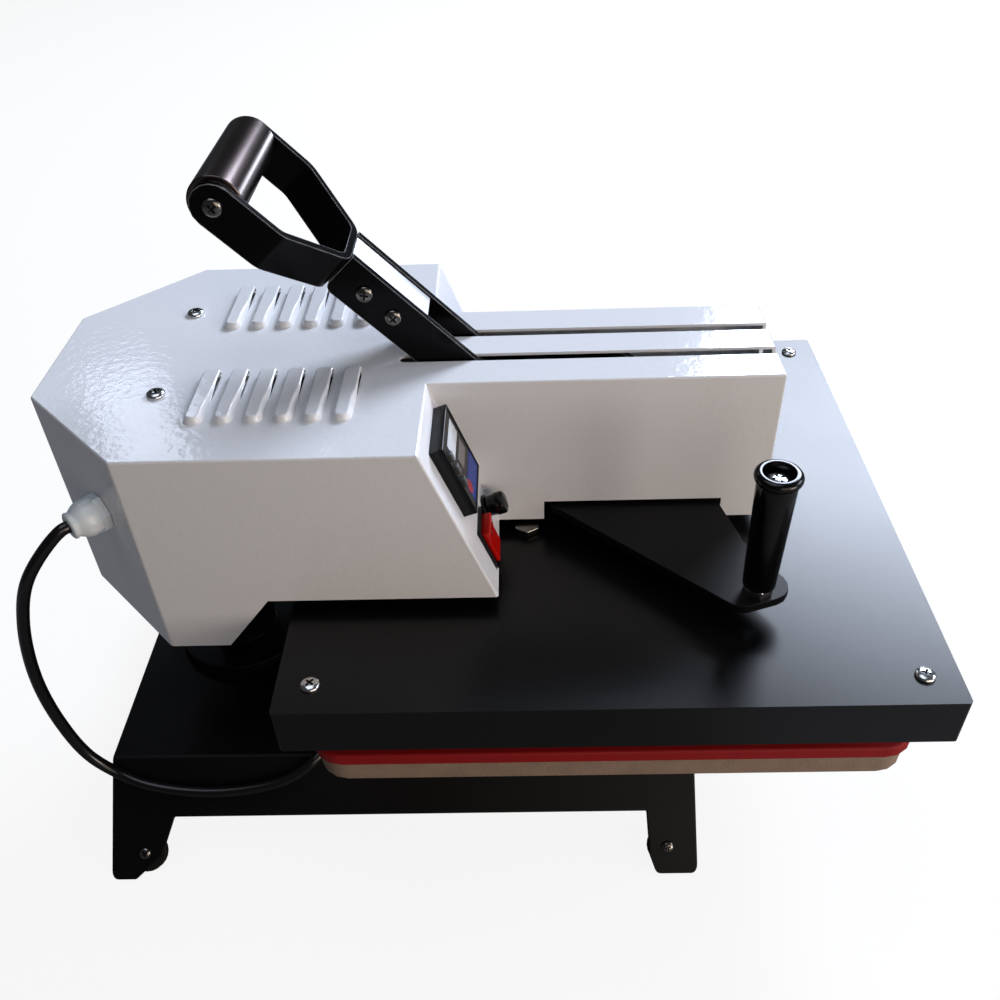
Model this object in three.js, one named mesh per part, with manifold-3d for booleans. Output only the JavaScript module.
// Swing-away heat press for a 38 x 38 cm pressing area, in millimetres, +Z up.
// +X points to the operator's front. The origin lies on the bench, under the middle of the press.
// The feature that takes the most skill is the lever: two cam plates with a spiral slot each, which
// lift and lower the platen by its cross pin at a constant rate.
import * as THREE from 'three';
import { mergeVertices } from 'three/addons/utils/BufferGeometryUtils.js';
import Module from 'manifold-3d';

const wasm = await Module();
wasm.setup();

// Clearances and counts shared by all pieces
const FIT = 0.3;
const OVERRUN = 6;
const MERGE_DISTANCE = 0.0005;
const ROUND_STEPS = 4;
const ROUND_SIDES = 24;
const LARGE_SIDES = 40;
const SMALL_SIDES = 12;
const HEX_SIDES = 6;
const QUARTER = Math.PI / 2;
const TURN = 2 * Math.PI;
const degrees = (angle) => THREE.MathUtils.degToRad(angle);

// Places of the two main axes
const COLUMN_X = -205;
const REACH = 283;
const PRESS_X = COLUMN_X + REACH;

// Size that the platen, the table and the pad follow
const COVER_SIZE = 404;

// Base frame of folded sheet
const BASE_REAR_X = -278;
const BASE_LENGTH = 423;
const BASE_HEIGHT = 66;
const BASE_TOP_HALF = 128.5;
const BASE_FOOT_HALF = 190;
const BASE_SHEET = 3;
const BASE_BEND = 5;
const LEG_LIFT = 1.6;
const ARCH_HEIGHT = 34;
const REAR_LEG_WIDTH = 46;
const REAR_LEG_KNEE_WIDTH = 37;
const REAR_LEG_KNEE_HEIGHT = 14;
const REAR_LEG_TIP = 18;
const FRONT_LEG_WIDTH = 35.5;
const FRONT_LEG_KNEE_WIDTH = 34;
const FRONT_LEG_KNEE_HEIGHT = 11;
const FRONT_LEG_TIP = 29.5;
const LEG_CORNER = 4.5;

// Rubber feet, on the inner face of each leg
const FOOT_RADIUS = 14;
const FOOT_THICKNESS = 6;
const FOOT_SQUASH = 1.2;
const REAR_FOOT_INSET = 24.5;
const FRONT_FOOT_INSET = 21;

// Column
const COLUMN_RADIUS = 25;
const COLUMN_FLANGE_RADIUS = 52;
const COLUMN_FLANGE_THICKNESS = 8;
const SHOULDER_RADIUS = 33;
const SHOULDER_HEIGHT = 20;
const WASHER_THICKNESS = 3;
const WASHER_RADIUS = 39;

// Stand, lower table and silicone pad
const STAND_HEIGHT = 53.7;
const STAND_WIDTH = 150;
const STAND_LENGTH = 180;
const STAND_SHEET = 5;
const STAND_FOOT = 22;
const STAND_FRONT_INSET = 8;
const TABLE_INSET = 14;
const TABLE_SIZE = COVER_SIZE - 2 * TABLE_INSET;
const TABLE_THICKNESS = 18;
const TABLE_CORNER = 20;
const PAD_INSET = 11.5;
const PAD_SIZE = COVER_SIZE - 2 * PAD_INSET;
const PAD_THICKNESS = 10;
const PAD_CORNER = 21;

// Platen: cover with skirt, board, heated plate
const PRESS_OPENING = 20.2;
const PRESS_STROKE = 19.5;
const COVER_CORNER = 2.6;
const COVER_SHEET = 2;
const SKIRT_DEPTH = 35;
const SKIRT_LIFT = 2;
const PLATE_INSET = 12;
const PLATE_SIZE = COVER_SIZE - 2 * PLATE_INSET;
const PLATE_THICKNESS = 18;
const PLATE_CORNER = 10;
const BOARD_INSET = 32;
const BOARD_SIZE = COVER_SIZE - 2 * BOARD_INSET;
const PLATEN_SCREW_INSET = 21;
const PLATEN_SCREW_HEAD = 6;
const PLATEN_SCREW_HEIGHT = 3.2;
const PLATEN_SCREW_SHANK = 2.5;
const BOLT_SPAN_X = 100;
const BOLT_SPAN_Y = 90;
const BOLT_ACROSS_FLATS = 17;
const BOLT_HEAD = 6.4;
const BOLT_SHANK = 5;
const BOLT_LENGTH = 24;

// Press shaft and its cross pin
const SHAFT_RADIUS = 10;
const SHAFT_FLANGE_RADIUS = 26;
const SHAFT_FLANGE_THICKNESS = 5;
const SHAFT_SPIGOT_RADIUS = 8;
const SHAFT_EYE_ABOVE_PIN = 7;
const CAM_PIN_RADIUS = 4;
const CAM_PIN_HALF = 21.5;

// Housing of the head
const HOUSING_REAR_X = -280;
const HOUSING_SHEET = 2;
const HOUSING_HEIGHT = 112.5;
const HEAD_GAP = 10;
const REAR_FLAT_HALF = 49.5;
const WIDE_HALF = 120;
const NARROW_HALF = 45;
const PANEL_TOP_X = -33;
const PANEL_RUN = 42;
const FINGER_PAST_PRESS = 112;
const FINGER_END_X = PRESS_X + FINGER_PAST_PRESS;
const LOBE_DROP = 40.5;
const LOBE_LENGTH = 110;
const LOBE_SLOPE_RUN = 32;
const SLOT_INNER_Y = 11;
const SLOT_OUTER_Y = 19.5;
const SLOT_BEHIND_PRESS = 130;
const SLOT_REAR_X = PRESS_X - SLOT_BEHIND_PRESS;
const SLOT_FRONT_DROP = 24;
const NOTCH_BEHIND_PRESS = 38;
const NOTCH_REAR_X = PRESS_X - NOTCH_BEHIND_PRESS;
const NOTCH_LENGTH = 120;
const NOTCH_HEIGHT = 15.5;

// Louvres on the housing's top
const LOUVRE_COUNT = 6;
const LOUVRE_PITCH = 17.9;
const LOUVRE_FIRST_X = -176;
const LOUVRE_WIDTH = 12;
const LOUVRE_ROOF_SHARE = 0.5;
const LOUVRE_ROUND = 3;
const LOUVRE_HEIGHT = 4.2;
const LOUVRE_LENGTH = 57;
const LOUVRE_Y = 56;
const LOUVRE_SLIT = 2.4;
const LOUVRE_SLIT_LENGTH = 44;
const LOUVRE_END = 3.6;

// Two screws on the housing's top, and the bracket under them
const HOUSING_SCREW_X = -200;
const HOUSING_SCREW_Y = 51;
const HOUSING_SCREW_HEAD = 6;
const HOUSING_SCREW_HEIGHT = 3.4;
const HOUSING_SCREW_SHANK = 2.4;
const HOUSING_SCREW_LENGTH = 9;
const BRACKET_STRAP = 3;
const BRACKET_STRAP_WIDTH = 24;
const BRACKET_LEG_X = -166;
const BRACKET_LEG_WIDTH = 18;
const BRACKET_LEG_LAP = 26;
const BRACKET_HALF = 62;

// Arm: sleeve round the column, channel, guide bush
const SLEEVE_RADIUS = 36;
const SLEEVE_TOP_DROP = 28;
const RETAINER_RADIUS = 33;
const RETAINER_WASHER = 4;
const RETAINER_HEAD_FLATS = 30;
const RETAINER_HEAD = 9;
const ARM_HALF = 30;
const ARM_SHEET = 6;
const ARM_WEB = 5;
const ARM_LIFT = 1.5;
const ARM_FLANGE_HEIGHT = 73;
const ARM_PAST_PRESS = 55;
const ARM_FRONT_X = PRESS_X + ARM_PAST_PRESS;
const BUSH_RADIUS = 14;
const BUSH_RIM_RADIUS = 17;
const BUSH_RIM = 1.2;
const BUSH_BELOW = 2;

// Lever
const PIVOT_LIFT = 54.5;
const PIVOT_RADIUS = 6;
const LEVER_LEAN = 46;
const LEVER_TRAVEL = 120;
const LEVER_PLATE = 5;
const LEVER_PLATE_INNER_Y = 12.75;
const LEVER_WIDTH = 28;
const LEVER_BAR_OFFSET = 31.7;
const LEVER_BAR_START = 88;
const LEVER_BAR_END = 198.5;
const CAM_DISC_RADIUS = 44;
const CAM_DISC_TANGENT = 50;
const CAM_SLOT_START = 14;
const CAM_SLOT_STEPS = 18;
const LEVER_BOLT_FIRST = 155;
const LEVER_BOLT_PITCH = 23;
const LEVER_BOLT_RADIUS = 3;
const LEVER_BOLT_HEAD = 5.4;
const LEVER_BOLT_HEAD_HEIGHT = 3;
const SPACER_START = 138;
const SPACER_DEPTH = 20;
const SPACER_INSET = 1.2;

// Fork and grip of the lever
const FORK_SHEET = 5;
const FORK_WIDTH = 26;
const FORK_WEB_HALF = 20;
const FORK_SPREAD_RUN = 40;
const FORK_HALF = 53;
const FORK_LENGTH = 77;
const FORK_BEND = 9;
const GRIP_RADIUS = 15.5;
const GRIP_SCREW_HEAD = 6;
const GRIP_SCREW_HEIGHT = 3.2;
const GRIP_SCREW_SHANK = 3;
const GRIP_SCREW_LENGTH = 22;

// Control panel pieces, placed down the panel's slope and across it
const CONTROLLER_DOWN = 12.5;
const CONTROLLER_HEIGHT = 52;
const CONTROLLER_WIDTH = 45;
const CONTROLLER_Y = -80;
const CONTROLLER_PROUD = 9;
const CONTROLLER_CORNER = 5;
const WINDOW_DEPTH = 0.8;
const WINDOW_WIDTH = 24;
const WINDOW_Y = 6;
const WINDOW_HEIGHT = 11;
const WINDOW_DOWN = 6;
const WINDOW_PITCH = 14;
const KEY_COUNT = 3;
const KEY_PITCH = 10;
const KEY_DOWN = 11;
const KEY_LENGTH = 6;
const KEY_WIDTH = 4.5;
const KEY_PROUD = 1.3;
const KEY_SEAT = 4;
const KEY_TRAVEL = 0.8;
const KEY_EDGE = 7;
const ROCKER_DOWN = 84;
const ROCKER_FRAME_LENGTH = 33;
const ROCKER_FRAME_WIDTH = 28;
const ROCKER_FRAME_PROUD = 2;
const ROCKER_Y = -84;
const ROCKER_RIM = 3.2;
const ROCKER_DEPTH = 15;
const ROCKER_WALL = 1.6;
const ROCKER_GAP = 0.9;
const ROCKER_TILT = 7;
const ROCKER_PIVOT_DEPTH = 4;
const ROCKER_FACE_RISE = 3.2;
const ROCKER_FACE_DIP = 1.4;
const ROCKER_SKIRT = 4;
const FUSE_DOWN = 95;
const FUSE_Y = -59.5;
const FUSE_COLLAR_RADIUS = 8.4;
const FUSE_COLLAR = 1.6;
const FUSE_BODY_RADIUS = 6;
const FUSE_BODY_LENGTH = 24;
const FUSE_CAP_RADIUS = 7.4;
const FUSE_CAP_LENGTH = 12;
const FUSE_SLOT_WIDTH = 1.6;
const FUSE_SLOT_DEPTH = 1.8;

// Cable gland on the near rear chamfer
const GLAND_BELOW_TOP = 55;
const GLAND_SHIFT = 13.5;
const GLAND_CAP = 2;
const GLAND_HEX_FLATS = 22;
const GLAND_HEX = 6;
const GLAND_BODY_RADIUS = 8;
const GLAND_NUT_RADIUS = 11;
const GLAND_NUT_LENGTH = 15;
const GLAND_DOME = 6;
const GLAND_SHOULDER = 9.5;
const GLAND_SHOULDER_DROP = 1.5;
const GLAND_INSIDE = 8;

// Swing handle and the bracket that carries it
const SWING_BRACKET = 6;
const SWING_BRACKET_LIFT = 6.5;
const SWING_PAST_PRESS = 90;
const SWING_X = PRESS_X + SWING_PAST_PRESS;
const SWING_Y = -131;
const SWING_TIP_CORNER = 13;
const SWING_TIP_LIP = 2;
const SWING_TIP_FRONT = 26;
const SWING_TIP_INNER = 44;
const SWING_ROOT_BEHIND = 33;
const SWING_ROOT_PAST = 80;
const HANDLE_BOLT_RADIUS = 4;
const HANDLE_BOLT_HEAD = 6.5;
const HANDLE_BOLT_HEAD_HEIGHT = 4;
const HANDLE_NUT_FLATS = 16;
const HANDLE_NUT = 6;
const HANDLE_TAIL = 3;
const SWING_GRIP_LENGTH = 86;
const SWING_GRIP_FOOT = 10;
const SWING_GRIP_NECK = 12;
const SWING_GRIP_RIM = 14.2;
const SWING_GRIP_RIM_HEIGHT = 8;
const SWING_GRIP_RECESS = 9.4;
const SWING_GRIP_RECESS_DEPTH = 9;

// Mains lead
const CORD_RADIUS = 4;
const CORD_SIDES = 8;
const CORD_STEPS = 64;
const CORD_REST = 0.2;
const COIL_X = 30;
const COIL_Y = 292;
const COIL_OUTER = 58;
const COIL_INNER = 41;
const COIL_END = 79;
const COIL_LEAD = 12;
const COIL_APPROACH = 48;
const COIL_TOUCH = 16;
const COIL_START = 8;
const COIL_SIDES = 6;
const COIL_STEPS = 24;
const COIL_LAYER = 8.8;
const PLUG_LENGTH = 42;
const PLUG_WIDTH = 30;
const PLUG_HEIGHT = 24;
const PLUG_NECK_LENGTH = 14;
const PLUG_NECK_RADIUS = 6.5;
const PLUG_PIN_RADIUS = 2.2;
const PLUG_PIN_LENGTH = 19;
const PLUG_PIN_SPACING = 19;

// Levels that follow from the sizes above
const STAND_BOTTOM = BASE_HEIGHT + FIT;
const TABLE_BOTTOM = STAND_BOTTOM + STAND_HEIGHT + FIT;
const TABLE_TOP = TABLE_BOTTOM + TABLE_THICKNESS;
const PAD_TOP = TABLE_TOP + FIT + PAD_THICKNESS;
const PLATE_BOTTOM = PAD_TOP + PRESS_OPENING;
const PLATE_TOP = PLATE_BOTTOM + PLATE_THICKNESS;
const COVER_BOTTOM = PLATE_BOTTOM + SKIRT_LIFT;
const COVER_TOP = COVER_BOTTOM + SKIRT_DEPTH;
const WALL_BOTTOM = COVER_TOP + HEAD_GAP;
const HOUSING_TOP = WALL_BOTTOM + HOUSING_HEIGHT;
const LOBE_BOTTOM = WALL_BOTTOM - LOBE_DROP;
const SLEEVE_TOP = HOUSING_TOP - SLEEVE_TOP_DROP;
const ARM_BOTTOM = WALL_BOTTOM + ARM_LIFT;
const ARM_TOP = ARM_BOTTOM + ARM_FLANGE_HEIGHT;
const PIVOT_Z = WALL_BOTTOM + PIVOT_LIFT;
const CAM_PIN_Z = PIVOT_Z - CAM_SLOT_START;
const SWING_BRACKET_BOTTOM = WALL_BOTTOM + SWING_BRACKET_LIFT;
const SWING_BRACKET_TOP = SWING_BRACKET_BOTTOM + SWING_BRACKET;

// Materials
const paint = (color, roughness, metalness = 0) => (
  new THREE.MeshStandardMaterial({ color, roughness, metalness })
);
const blackPowder = paint(0x1b1b1d, 0.55);
const satinBlack = paint(0x141415, 0.4);
const whitePowder = paint(0xe9eaec, 0.35);
const steel = paint(0xb9bcc0, 0.3, 1);
const brightScrew = paint(0xd0d2d4, 0.25, 1);
const castPlate = paint(0xa89a83, 0.75, 0.2);
const silicone = paint(0xc02a22, 0.7);
const aluminium = paint(0xc9ccd0, 0.4, 1);
const insulation = paint(0xd8d2c4, 0.95);
const whiteNylon = paint(0xf2f2ef, 0.45);
const blackPlastic = paint(0x161617, 0.45);
const redPlastic = paint(0xc8281f, 0.3);
const greyPlastic = paint(0x8b8f93, 0.5);
const bronze = paint(0xa77b45, 0.4, 1);
const rubber = paint(0x111111, 0.85);
const gripMetal = paint(0x2a2a2c, 0.3, 0.8);
const cordJacket = paint(0x0e0e0f, 0.4);

// A closed body from a geometry: vertices merged, empty triangles left out, faces turned outwards
function solid(geometry) {
  const bare = new THREE.BufferGeometry();
  bare.setAttribute('position', geometry.attributes.position);
  if (geometry.index) bare.setIndex(geometry.index);
  const merged = mergeVertices(bare, MERGE_DISTANCE);
  const position = merged.attributes.position;
  const triangles = [];
  const [a, b, c] = [new THREE.Vector3(), new THREE.Vector3(), new THREE.Vector3()];
  let volume = 0;
  for (let i = 0; i < merged.index.count; i += 3) {
    const corners = [0, 1, 2].map((k) => merged.index.getX(i + k));
    if (new Set(corners).size < corners.length) continue;
    triangles.push(...corners);
    [a, b, c].forEach((point, k) => point.fromBufferAttribute(position, corners[k]));
    volume += a.dot(b.cross(c));
  }
  if (volume < 0) triangles.reverse();
  return new wasm.Manifold(new wasm.Mesh({
    numProp: 3,
    vertProperties: new Float32Array(position.array),
    triVerts: new Uint32Array(triangles),
  }));
}

const join = (...bodies) => bodies.reduce((whole, body) => whole.add(body));
const cut = (whole, ...tools) => tools.reduce((rest, tool) => rest.subtract(tool), whole);

function geometryOf(body) {
  const { vertProperties, triVerts } = body.getMesh();
  const geometry = new THREE.BufferGeometry();
  geometry.setAttribute('position', new THREE.BufferAttribute(new Float32Array(vertProperties), 3));
  geometry.setIndex(new THREE.BufferAttribute(new Uint32Array(triVerts), 1));
  geometry.computeVertexNormals();
  return geometry;
}

function piece(parent, name, body, material) {
  const mesh = new THREE.Mesh(geometryOf(body), material);
  mesh.name = name;
  parent.add(mesh);
  return mesh;
}

// An outline whose corners are [x, y] or, rounded, [x, y, radius]
function outline(corners) {
  const points = [];
  corners.forEach(([x, y, radius = 0], i) => {
    const corner = new THREE.Vector2(x, y);
    const last = corners[(i + corners.length - 1) % corners.length];
    const next = corners[(i + 1) % corners.length];
    const toLast = new THREE.Vector2(last[0], last[1]).sub(corner);
    const toNext = new THREE.Vector2(next[0], next[1]).sub(corner);
    if (radius === 0) {
      points.push(corner);
      return;
    }
    const half = Math.acos(toLast.clone().normalize().dot(toNext.clone().normalize())) / 2;
    const setback = Math.min(radius / Math.tan(half), toLast.length() / 2, toNext.length() / 2);
    const bend = setback * Math.tan(half);
    const start = corner.clone().add(toLast.normalize().multiplyScalar(setback));
    const end = corner.clone().add(toNext.normalize().multiplyScalar(setback));
    const middle = toLast.add(toNext).normalize().multiplyScalar(bend / Math.sin(half)).add(corner);
    const from = start.clone().sub(middle).angle();
    let sweep = end.clone().sub(middle).angle() - from;
    if (sweep > Math.PI) sweep -= TURN;
    if (sweep < -Math.PI) sweep += TURN;
    for (let k = 0; k <= ROUND_STEPS; k += 1) {
      const angle = from + sweep * k / ROUND_STEPS;
      points.push(new THREE.Vector2(Math.cos(angle), Math.sin(angle)).multiplyScalar(bend).add(middle));
    }
  });
  return new THREE.Shape(points);
}

const rectangle = (x, y, width, height, corner = 0) => outline([
  [x - width / 2, y - height / 2, corner],
  [x + width / 2, y - height / 2, corner],
  [x + width / 2, y + height / 2, corner],
  [x - width / 2, y + height / 2, corner],
]);

const drawn = (shape, depth) => new THREE.ExtrudeGeometry(shape, { depth, bevelEnabled: false });

// A flat piece from an outline in X and Y, raised along Z
const lying = (shape, bottom, height) => solid(drawn(shape, height).translate(0, 0, bottom));

// A flat piece from an outline in X and Z, reaching along Y
const standing = (shape, nearY, width) => (
  solid(drawn(shape, width).rotateX(QUARTER).translate(0, nearY + width, 0))
);

// A profile in Y and Z, drawn along X
const along = (shape, rearX, length) => (
  solid(drawn(shape, length).rotateX(QUARTER).rotateZ(QUARTER).translate(rearX, 0, 0))
);

const block = (x, y, z) => {
  const size = [x, y, z].map(([low, high]) => high - low);
  const middle = [x, y, z].map(([low, high]) => (low + high) / 2);
  return solid(new THREE.BoxGeometry(...size).translate(...middle));
};

// A round or hexagonal bar from one point to another
function bar(radius, from, to, sides = ROUND_SIDES) {
  const start = new THREE.Vector3(...from);
  const run = new THREE.Vector3(...to).sub(start);
  const geometry = new THREE.CylinderGeometry(radius, radius, run.length(), sides);
  const turn = new THREE.Quaternion().setFromUnitVectors(new THREE.Vector3(0, 1, 0), run.clone().normalize());
  geometry.applyQuaternion(turn);
  return solid(geometry.translate(...start.add(run.multiplyScalar(0.5)).toArray()));
}

const upright = (radius, x, y, bottom, top, sides = ROUND_SIDES) => (
  bar(radius, [x, y, bottom], [x, y, top], sides)
);
const acrossFlats = (flats) => flats / Math.sqrt(3);

// A turned piece: its profile is [radius, height] pairs, its axis is Z through the place given
const turned = (profile, x, y, sides = LARGE_SIDES) => {
  const points = profile.map(([radius, height]) => new THREE.Vector2(radius, height));
  return solid(new THREE.LatheGeometry(points, sides).rotateX(QUARTER).translate(x, y, 0));
};

// A screw with a domed head, standing on the given level
const DOME_SIDE_SHARE = 0.33;
const DOME_SHOULDER_SHARE = 0.72;
const DOME_SHOULDER_RISE_SHARE = 0.84;
function domedScrew(x, y, seat, head, height, shank, length) {
  const under = seat + FIT;
  return turned([
    [0, seat - length], [shank, seat - length], [shank, under], [head, under],
    [head, under + height * DOME_SIDE_SHARE],
    [head * DOME_SHOULDER_SHARE, under + height * DOME_SHOULDER_RISE_SHARE], [0, under + height],
  ], x, y, SMALL_SIDES);
}

const group = new THREE.Group();

// Base frame: one sheet folded over, its sloping sides cut out into four legs
const flangeRun = BASE_FOOT_HALF - BASE_TOP_HALF;
const flangeLength = Math.hypot(flangeRun, BASE_HEIGHT);
const flangeCos = flangeRun / flangeLength;
const flangeSin = BASE_HEIGHT / flangeLength;
const flangeHalf = (height) => BASE_TOP_HALF + flangeRun * (BASE_HEIGHT - height) / BASE_HEIGHT;
const BASE_FRONT_X = BASE_REAR_X + BASE_LENGTH;

function baseFrame() {
  const outer = outline([
    [-BASE_FOOT_HALF, 0], [BASE_FOOT_HALF, 0],
    [BASE_TOP_HALF, BASE_HEIGHT, BASE_BEND], [-BASE_TOP_HALF, BASE_HEIGHT, BASE_BEND],
  ]);
  const inset = BASE_SHEET / flangeSin;
  const innerTop = flangeHalf(BASE_HEIGHT - BASE_SHEET) - inset;
  const innerFoot = flangeHalf(-OVERRUN) - inset;
  const hollow = outline([
    [-innerFoot, -OVERRUN], [innerFoot, -OVERRUN],
    [innerTop, BASE_HEIGHT - BASE_SHEET, BASE_BEND - BASE_SHEET],
    [-innerTop, BASE_HEIGHT - BASE_SHEET, BASE_BEND - BASE_SHEET],
  ]);
  const above = BASE_HEIGHT + OVERRUN;
  const legs = outline([
    [BASE_REAR_X, above],
    [BASE_REAR_X, LEG_LIFT, LEG_CORNER],
    [BASE_REAR_X + REAR_LEG_TIP, LEG_LIFT, LEG_CORNER],
    [BASE_REAR_X + REAR_LEG_KNEE_WIDTH, REAR_LEG_KNEE_HEIGHT, LEG_CORNER],
    [BASE_REAR_X + REAR_LEG_WIDTH, ARCH_HEIGHT],
    [BASE_FRONT_X - FRONT_LEG_WIDTH, ARCH_HEIGHT],
    [BASE_FRONT_X - FRONT_LEG_KNEE_WIDTH, FRONT_LEG_KNEE_HEIGHT, LEG_CORNER],
    [BASE_FRONT_X - FRONT_LEG_TIP, LEG_LIFT, LEG_CORNER],
    [BASE_FRONT_X, LEG_LIFT, LEG_CORNER],
    [BASE_FRONT_X, above],
  ]);
  const sheet = cut(
    along(outer, BASE_REAR_X, BASE_LENGTH),
    along(hollow, BASE_REAR_X - OVERRUN, BASE_LENGTH + 2 * OVERRUN),
  );
  return sheet.intersect(standing(legs, -BASE_FOOT_HALF - OVERRUN, 2 * (BASE_FOOT_HALF + OVERRUN)));
}
piece(group, 'base_frame', baseFrame(), blackPowder);

const footDepth = BASE_SHEET + FIT + FOOT_THICKNESS;
const FOOT_Z = footDepth * flangeCos + FOOT_RADIUS * flangeSin - FOOT_SQUASH;
function foot(x, side) {
  const y = flangeHalf(FOOT_Z);
  const inwards = (depth) => [x, side * (y - depth * flangeSin), FOOT_Z - depth * flangeCos];
  const disc = bar(FOOT_RADIUS, inwards(BASE_SHEET + FIT), inwards(footDepth));
  const bench = block(
    [x - FOOT_RADIUS - OVERRUN, x + FOOT_RADIUS + OVERRUN],
    [-BASE_FOOT_HALF - OVERRUN, BASE_FOOT_HALF + OVERRUN],
    [-FOOT_RADIUS, 0],
  );
  return cut(disc, bench);
}
[
  ['foot_near_rear', BASE_REAR_X + REAR_FOOT_INSET, -1],
  ['foot_far_rear', BASE_REAR_X + REAR_FOOT_INSET, 1],
  ['foot_near_front', BASE_FRONT_X - FRONT_FOOT_INSET, -1],
  ['foot_far_front', BASE_FRONT_X - FRONT_FOOT_INSET, 1],
].forEach(([name, x, side]) => piece(group, name, foot(x, side), rubber));

// Column, turned with its flange and the shoulder that carries the head
const SHOULDER_TOP = LOBE_BOTTOM - WASHER_THICKNESS - FIT;
const COLUMN_TOP = SLEEVE_TOP + FIT;
const flangeTop = BASE_HEIGHT + FIT + COLUMN_FLANGE_THICKNESS;
piece(group, 'column', turned([
  [0, BASE_HEIGHT + FIT], [COLUMN_FLANGE_RADIUS, BASE_HEIGHT + FIT], [COLUMN_FLANGE_RADIUS, flangeTop],
  [COLUMN_RADIUS, flangeTop], [COLUMN_RADIUS, SHOULDER_TOP - SHOULDER_HEIGHT],
  [SHOULDER_RADIUS, SHOULDER_TOP - SHOULDER_HEIGHT], [SHOULDER_RADIUS, SHOULDER_TOP],
  [COLUMN_RADIUS, SHOULDER_TOP], [COLUMN_RADIUS, COLUMN_TOP], [0, COLUMN_TOP],
], COLUMN_X, 0), blackPowder);
piece(group, 'thrust_washer', turned([
  [COLUMN_RADIUS + FIT, LOBE_BOTTOM - WASHER_THICKNESS], [WASHER_RADIUS, LOBE_BOTTOM - WASHER_THICKNESS],
  [WASHER_RADIUS, LOBE_BOTTOM], [COLUMN_RADIUS + FIT, LOBE_BOTTOM],
  [COLUMN_RADIUS + FIT, LOBE_BOTTOM - WASHER_THICKNESS],
], COLUMN_X, 0), bronze);
const retainerBottom = COLUMN_TOP + FIT;
piece(group, 'retaining_bolt', join(
  upright(RETAINER_RADIUS, COLUMN_X, 0, retainerBottom, retainerBottom + RETAINER_WASHER, LARGE_SIDES),
  upright(
    acrossFlats(RETAINER_HEAD_FLATS), COLUMN_X, 0,
    retainerBottom, retainerBottom + RETAINER_WASHER + RETAINER_HEAD, HEX_SIDES,
  ),
), steel);

// Stand: a folded channel with feet, open at both ends
function tableStand() {
  const half = STAND_WIDTH / 2;
  const [low, high] = [STAND_BOTTOM, STAND_BOTTOM + STAND_HEIGHT];
  const profile = outline([
    [-half - STAND_FOOT, low], [-half + STAND_SHEET, low], [-half + STAND_SHEET, high - STAND_SHEET],
    [half - STAND_SHEET, high - STAND_SHEET], [half - STAND_SHEET, low], [half + STAND_FOOT, low],
    [half + STAND_FOOT, low + STAND_SHEET], [half, low + STAND_SHEET], [half, high, BASE_BEND],
    [-half, high, BASE_BEND], [-half, low + STAND_SHEET], [-half - STAND_FOOT, low + STAND_SHEET],
  ]);
  return along(profile, BASE_FRONT_X - STAND_FRONT_INSET - STAND_LENGTH, STAND_LENGTH);
}
piece(group, 'table_stand', tableStand(), blackPowder);
piece(group, 'lower_table', lying(
  rectangle(PRESS_X, 0, TABLE_SIZE, TABLE_SIZE, TABLE_CORNER), TABLE_BOTTOM, TABLE_THICKNESS,
), castPlate);
piece(group, 'silicone_pad', lying(
  rectangle(PRESS_X, 0, PAD_SIZE, PAD_SIZE, PAD_CORNER), TABLE_TOP + FIT, PAD_THICKNESS,
), silicone);

// Head: sleeve, arm channel and guide bush
const boreRadius = COLUMN_RADIUS + FIT;
piece(group, 'column_sleeve', turned([
  [boreRadius, LOBE_BOTTOM + FIT], [SLEEVE_RADIUS, LOBE_BOTTOM + FIT],
  [SLEEVE_RADIUS, SLEEVE_TOP], [boreRadius, SLEEVE_TOP], [boreRadius, LOBE_BOTTOM + FIT],
], COLUMN_X, 0), steel);

function armChannel() {
  const inner = ARM_HALF - ARM_SHEET;
  const profile = outline([
    [-ARM_HALF, ARM_BOTTOM], [ARM_HALF, ARM_BOTTOM], [ARM_HALF, ARM_TOP], [inner, ARM_TOP],
    [inner, ARM_BOTTOM + ARM_WEB], [-inner, ARM_BOTTOM + ARM_WEB], [-inner, ARM_TOP], [-ARM_HALF, ARM_TOP],
  ]);
  return cut(
    along(profile, COLUMN_X, ARM_FRONT_X - COLUMN_X),
    upright(SLEEVE_RADIUS + FIT, COLUMN_X, 0, ARM_BOTTOM - OVERRUN, ARM_TOP + OVERRUN, LARGE_SIDES),
    upright(BUSH_RADIUS + FIT, PRESS_X, 0, ARM_BOTTOM - OVERRUN, ARM_BOTTOM + ARM_WEB + OVERRUN),
    bar(
      PIVOT_RADIUS + FIT, [PRESS_X, -ARM_HALF - OVERRUN, PIVOT_Z], [PRESS_X, ARM_HALF + OVERRUN, PIVOT_Z],
    ),
  );
}
piece(group, 'arm_channel', armChannel(), blackPowder);
const bushRimBottom = ARM_BOTTOM + ARM_WEB + FIT;
piece(group, 'guide_bush', turned([
  [SHAFT_RADIUS + FIT, ARM_BOTTOM - BUSH_BELOW], [BUSH_RADIUS, ARM_BOTTOM - BUSH_BELOW],
  [BUSH_RADIUS, bushRimBottom], [BUSH_RIM_RADIUS, bushRimBottom],
  [BUSH_RIM_RADIUS, bushRimBottom + BUSH_RIM], [SHAFT_RADIUS + FIT, bushRimBottom + BUSH_RIM],
  [SHAFT_RADIUS + FIT, ARM_BOTTOM - BUSH_BELOW],
], PRESS_X, 0, ROUND_SIDES), bronze);

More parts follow.
